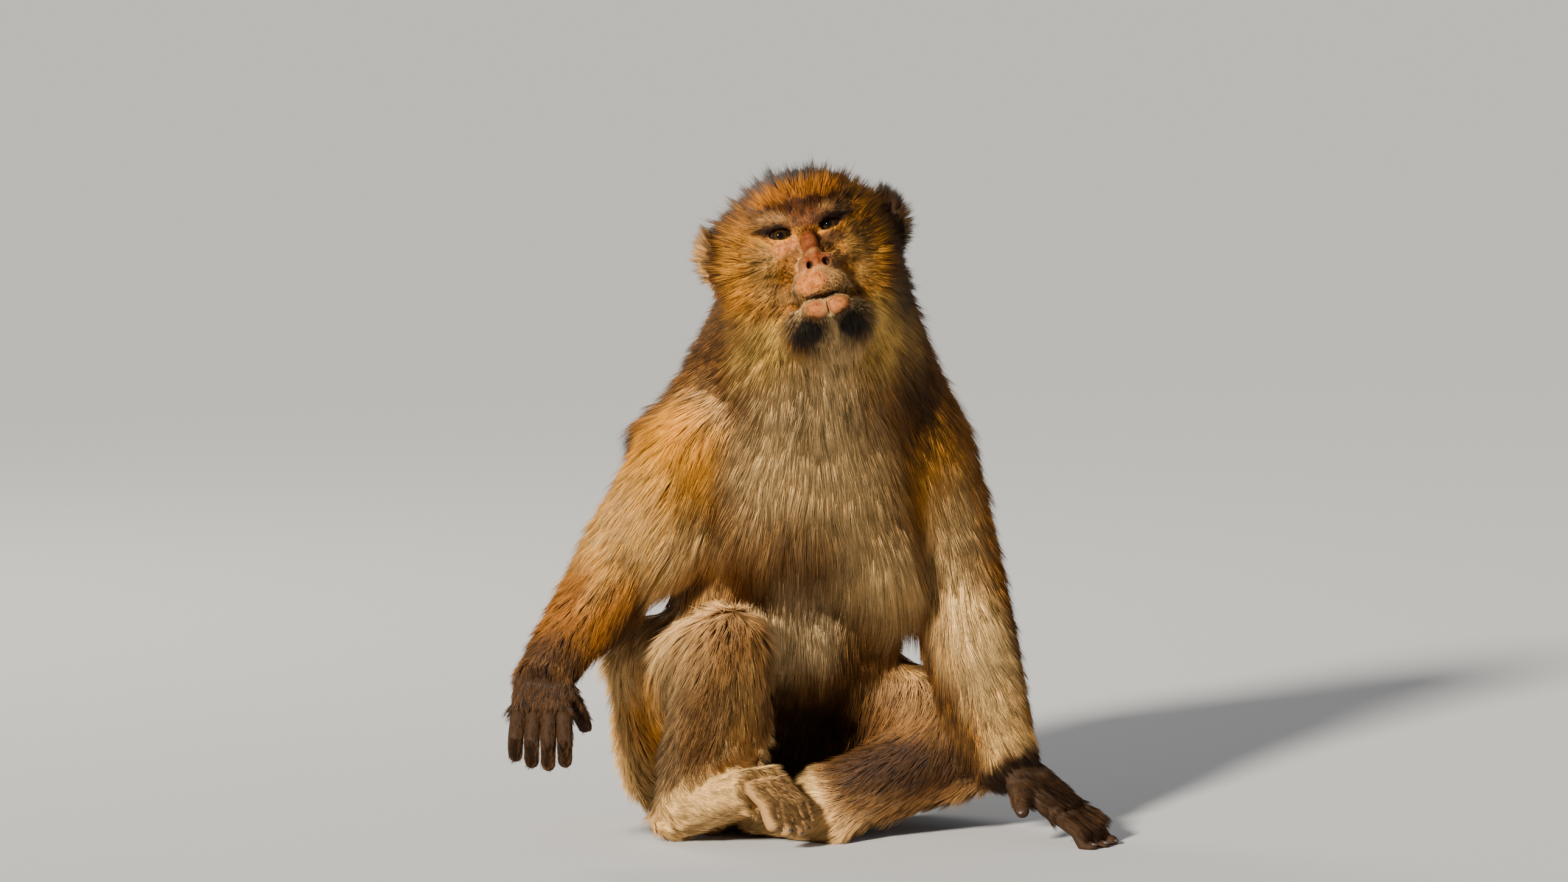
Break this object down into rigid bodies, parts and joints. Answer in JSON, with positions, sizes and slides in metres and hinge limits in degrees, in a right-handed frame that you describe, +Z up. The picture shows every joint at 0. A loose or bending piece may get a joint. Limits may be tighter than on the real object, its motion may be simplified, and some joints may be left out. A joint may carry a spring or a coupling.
{
  "type": "barbary macaque",
  "caption": "Seated tail-less macaque monkey with a dense golden-brown coat, propped on one hand with the other reaching forward; a still, life-size display model.",
  "frame": {"origin": "on the floor, under the middle of the model's outline seen from above", "axes": "+Z up, the animal faces -Y and its left is +X"},
  "size_m": [0.4734, 0.34, 0.5305],
  "materials": {
    "coat": "dense fur, golden brown with dark tips and a pale front",
    "bare_skin": "soft bare skin, pinkish tan",
    "dark_skin": "creased dark skin with short hair",
    "eye": "wet gloss"
  },
  "bodies": {
    "root": {"abdomen": "coat", "chest": "coat", "ear_left": "bare_skin", "ear_right": "bare_skin", "eye_left": "eye", "eye_right": "eye", "finger_left_1": "dark_skin", "finger_left_2": "dark_skin", "finger_left_3": "dark_skin", "finger_left_4": "dark_skin", "finger_right_1": "dark_skin", "finger_right_2": "dark_skin", "finger_right_3": "dark_skin", "finger_right_4": "dark_skin", "foot_left": "coat", "foot_right": "coat", "forearm_left": "coat", "forearm_right": "coat", "hallux_left": "dark_skin", "hallux_right": "dark_skin", "hand_left": "coat", "hand_right": "coat", "head": "coat", "jaw": "bare_skin", "muzzle": "bare_skin", "neck": "coat", "pelvis": "coat", "seat_pad_left": "bare_skin", "seat_pad_right": "bare_skin", "shin_left": "coat", "shin_right": "coat", "tail_stub": "coat", "thigh_left": "coat", "thigh_right": "coat", "thumb_left": "dark_skin", "thumb_right": "dark_skin", "toe_left_1": "dark_skin", "toe_left_2": "dark_skin", "toe_left_3": "dark_skin", "toe_left_4": "dark_skin", "toe_right_1": "dark_skin", "toe_right_2": "dark_skin", "toe_right_3": "dark_skin", "toe_right_4": "dark_skin", "upper_arm_left": "coat", "upper_arm_right": "coat"}
  },
  "joints": []
}
